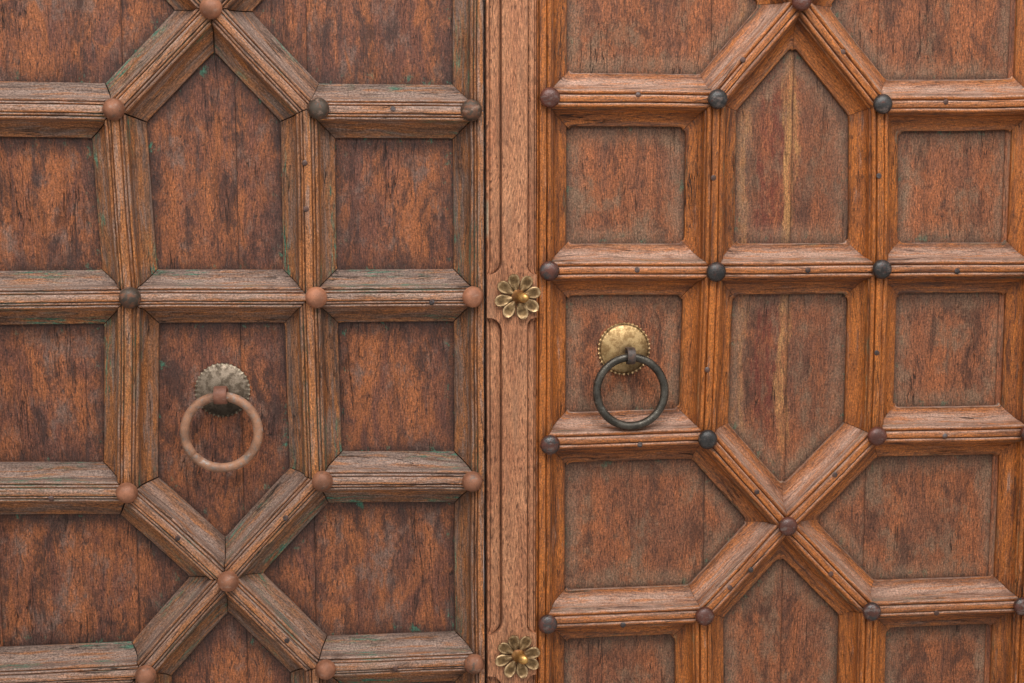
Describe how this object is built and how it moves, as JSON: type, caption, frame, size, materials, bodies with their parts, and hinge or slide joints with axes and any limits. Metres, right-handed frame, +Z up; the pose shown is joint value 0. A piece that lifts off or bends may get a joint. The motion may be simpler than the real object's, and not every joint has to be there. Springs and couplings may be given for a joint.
{
  "type": "carved temple door",
  "caption": "Pivot-hung double door faced with mitred, moulded battens in star and square panels, with domed studs, pull rings and a timber frame. Both leaves swing inward.",
  "frame": {"origin": "middle of the threshold's underside, in the plane of the planks' outer faces", "axes": "+Z up, +Y indoors through the doorway, +X to the right seen from outside"},
  "size_m": [2.047, 0.178, 2.714],
  "materials": {
    "frame_timber": "weathered hardwood, dry and dusty",
    "peg_wood": "dark end grain",
    "ledge_wood": "sawn, dusty",
    "left_board_wood": "dark red-brown boards with grey patina",
    "right_board_wood": "brown boards with pale dust",
    "left_batten_wood": "weathered grey-brown mouldings",
    "right_batten_wood": "orange-brown oiled mouldings",
    "strip_wood": "pale salmon-brown, open grain",
    "left_stud_iron": "rust-brown",
    "right_stud_iron": "dark, rubbed bright in places",
    "left_ring_iron": "rust-grey",
    "right_ring_iron": "dark",
    "left_staple_iron": "rust-red",
    "right_staple_iron": "dark",
    "left_plate_bronze": "darkened",
    "right_plate_brass": "rubbed bright at the tips",
    "flower_brass": "old, dusty in the hollows",
    "pivot_iron": "greased"
  },
  "bodies": {
    "frame": {"frame_pegs": "peg_wood", "left_jamb": "frame_timber", "lintel": "frame_timber", "pivot_sockets": "pivot_iron", "right_jamb": "frame_timber", "threshold": "frame_timber"},
    "left_leaf": {"left_cross_1": "left_batten_wood", "left_cross_2": "left_batten_wood", "left_hanging_stile": "left_board_wood", "left_ledges": "ledge_wood", "left_pintles": "pivot_iron", "left_plank_1": "left_board_wood", "left_plank_2": "left_board_wood", "left_plank_3": "left_board_wood", "left_plank_4": "left_board_wood", "left_rail_1": "left_batten_wood", "left_rail_2": "left_batten_wood", "left_rail_3": "left_batten_wood", "left_rail_4": "left_batten_wood", "left_rail_5": "left_batten_wood", "left_rail_6": "left_batten_wood", "left_rail_7": "left_batten_wood", "left_rail_8": "left_batten_wood", "left_rail_9": "left_batten_wood", "left_ring_plate": "left_plate_bronze", "left_ring_staple": "left_staple_iron", "left_studs": "left_stud_iron", "left_upright_1": "left_batten_wood", "left_upright_2": "left_batten_wood", "left_upright_3": "left_batten_wood", "left_upright_4": "left_batten_wood"},
    "right_leaf": {"meeting_strip": "strip_wood", "right_cross_1": "right_batten_wood", "right_cross_2": "right_batten_wood", "right_hanging_stile": "right_board_wood", "right_ledges": "ledge_wood", "right_pintles": "pivot_iron", "right_plank_1": "right_board_wood", "right_plank_2": "right_board_wood", "right_plank_3": "right_board_wood", "right_plank_4": "right_board_wood", "right_rail_1": "right_batten_wood", "right_rail_2": "right_batten_wood", "right_rail_3": "right_batten_wood", "right_rail_4": "right_batten_wood", "right_rail_5": "right_batten_wood", "right_rail_6": "right_batten_wood", "right_rail_7": "right_batten_wood", "right_rail_8": "right_batten_wood", "right_rail_9": "right_batten_wood", "right_ring_plate": "right_plate_brass", "right_ring_staple": "right_staple_iron", "right_studs": "right_stud_iron", "right_upright_1": "right_batten_wood", "right_upright_2": "right_batten_wood", "right_upright_3": "right_batten_wood", "right_upright_4": "right_batten_wood", "strip_flowers": "flower_brass"},
    "left_ring": {"left_ring": "left_ring_iron"},
    "right_ring": {"right_ring": "right_ring_iron"}
  },
  "joints": [
    {"name": "left_leaf_swing", "type": "hinge", "parent": "frame", "child": "left_leaf", "pos_m": [-0.9245, 0.0225, 0.091], "axis": [0, 0, 1], "range_deg": [0, 95]},
    {"name": "right_leaf_swing", "type": "hinge", "parent": "frame", "child": "right_leaf", "pos_m": [0.9245, 0.0225, 0.091], "axis": [0, 0, -1], "range_deg": [0, 95]},
    {"name": "left_ring_swing", "type": "hinge", "parent": "left_leaf", "child": "left_ring", "pos_m": [-0.482, -0.03, 1.18474], "axis": [-1, 0, 0], "range_deg": [-5, 165]},
    {"name": "right_ring_swing", "type": "hinge", "parent": "right_leaf", "child": "right_ring", "pos_m": [0.1915, -0.028, 1.23973], "axis": [-1, 0, 0], "range_deg": [0, 165]}
  ]
}
